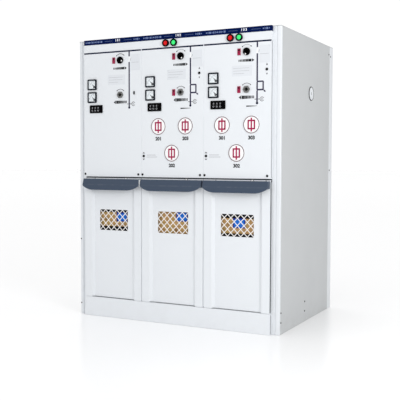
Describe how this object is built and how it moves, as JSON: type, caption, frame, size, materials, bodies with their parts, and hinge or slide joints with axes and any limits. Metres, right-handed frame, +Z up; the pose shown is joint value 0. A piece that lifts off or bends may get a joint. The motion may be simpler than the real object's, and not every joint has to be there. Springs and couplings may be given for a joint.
{
  "type": "gas-insulated switchgear cabinet",
  "caption": "Floor-standing gas-insulated ring main cabinet in white sheet steel, with control panels above, tilting cable covers below and turning switch sockets.",
  "frame": {"origin": "on the floor, under the middle of the overall box", "axes": "+Z up, the front faces -Y, +X to the right as seen from the front"},
  "size_m": [1.054, 0.781, 1.336],
  "materials": {
    "panel_white": "satin",
    "side_grey": "satin",
    "frame_steel": "satin",
    "header_navy": "satin",
    "meter_frame": "gloss",
    "black_plastic": "satin",
    "socket_grey": "satin",
    "tag_crimson": "gloss",
    "fuse_white": "satin",
    "lamp_red": "gloss",
    "lamp_green": "gloss",
    "board_tan": "matt",
    "grip_slate": "satin",
    "mesh_white": "satin"
  },
  "bodies": {
    "cabinet": {"left_front_post": "panel_white", "right_front_post": "panel_white", "left_rear_angle": "panel_white", "right_rear_angle": "panel_white", "front_plinth": "panel_white", "bay_post_1": "panel_white", "bay_post_2": "panel_white", "control_panel_1": "panel_white", "control_panel_2": "panel_white", "control_panel_3": "panel_white", "control_strip": "panel_white", "side_plugs": "panel_white", "left_side_panel": "side_grey", "right_side_panel": "side_grey", "back_panel": "side_grey", "roof_panel": "side_grey", "compartment_ceiling": "frame_steel", "head_rail": "frame_steel", "waist_rail": "frame_steel", "left_foot_rail": "frame_steel", "right_foot_rail": "frame_steel", "header_strip": "header_navy", "panel_meters": "meter_frame", "voltage_indicators": "black_plastic", "key_locks": "black_plastic", "lamp_bezels": "black_plastic", "interlock_tags": "tag_crimson", "fuse_caps": "fuse_white", "red_lamps": "lamp_red", "green_lamps": "lamp_green", "barrier_boards": "board_tan"},
    "cover_1": {"cable_cover_1": "panel_white", "cover_grip_1": "grip_slate", "window_mesh_1": "mesh_white"},
    "cover_2": {"cable_cover_2": "panel_white", "cover_grip_2": "grip_slate", "window_mesh_2": "mesh_white"},
    "cover_3": {"cable_cover_3": "panel_white", "cover_grip_3": "grip_slate", "window_mesh_3": "mesh_white"},
    "load_shaft_1": {"load_switch_socket_1": "black_plastic"},
    "load_shaft_2": {"load_switch_socket_2": "black_plastic"},
    "load_shaft_3": {"load_switch_socket_3": "black_plastic"},
    "earth_shaft_1": {"earth_switch_socket_1": "socket_grey"},
    "earth_shaft_2": {"earth_switch_socket_2": "socket_grey"},
    "earth_shaft_3": {"earth_switch_socket_3": "socket_grey"}
  },
  "joints": [
    {"name": "cover_1_tilt", "type": "hinge", "parent": "cabinet", "child": "cover_1", "pos_m": [-0.325, -0.3575, 0.0953], "axis": [1, 0, 0], "range_deg": [0, 30]},
    {"name": "cover_2_tilt", "type": "hinge", "parent": "cabinet", "child": "cover_2", "pos_m": [0, -0.3575, 0.0953], "axis": [1, 0, 0], "range_deg": [0, 30]},
    {"name": "cover_3_tilt", "type": "hinge", "parent": "cabinet", "child": "cover_3", "pos_m": [0.325, -0.3575, 0.0953], "axis": [1, 0, 0], "range_deg": [0, 30]},
    {"name": "load_switch_1_turn", "type": "hinge", "parent": "cabinet", "child": "load_shaft_1", "pos_m": [-0.279, -0.3605, 1.231], "axis": [0, 1, 0], "range_deg": [0, 90]},
    {"name": "load_switch_2_turn", "type": "hinge", "parent": "cabinet", "child": "load_shaft_2", "pos_m": [0.046, -0.3605, 1.231], "axis": [0, 1, 0], "range_deg": [0, 90]},
    {"name": "load_switch_3_turn", "type": "hinge", "parent": "cabinet", "child": "load_shaft_3", "pos_m": [0.371, -0.3605, 1.231], "axis": [0, 1, 0], "range_deg": [0, 90]},
    {"name": "earth_switch_1_turn", "type": "hinge", "parent": "cabinet", "child": "earth_shaft_1", "pos_m": [-0.279, -0.3605, 1.068], "axis": [0, 1, 0], "range_deg": [0, 90]},
    {"name": "earth_switch_2_turn", "type": "hinge", "parent": "cabinet", "child": "earth_shaft_2", "pos_m": [0.046, -0.3605, 1.068], "axis": [0, 1, 0], "range_deg": [0, 90]},
    {"name": "earth_switch_3_turn", "type": "hinge", "parent": "cabinet", "child": "earth_shaft_3", "pos_m": [0.371, -0.3605, 1.068], "axis": [0, 1, 0], "range_deg": [0, 90]}
  ]
}
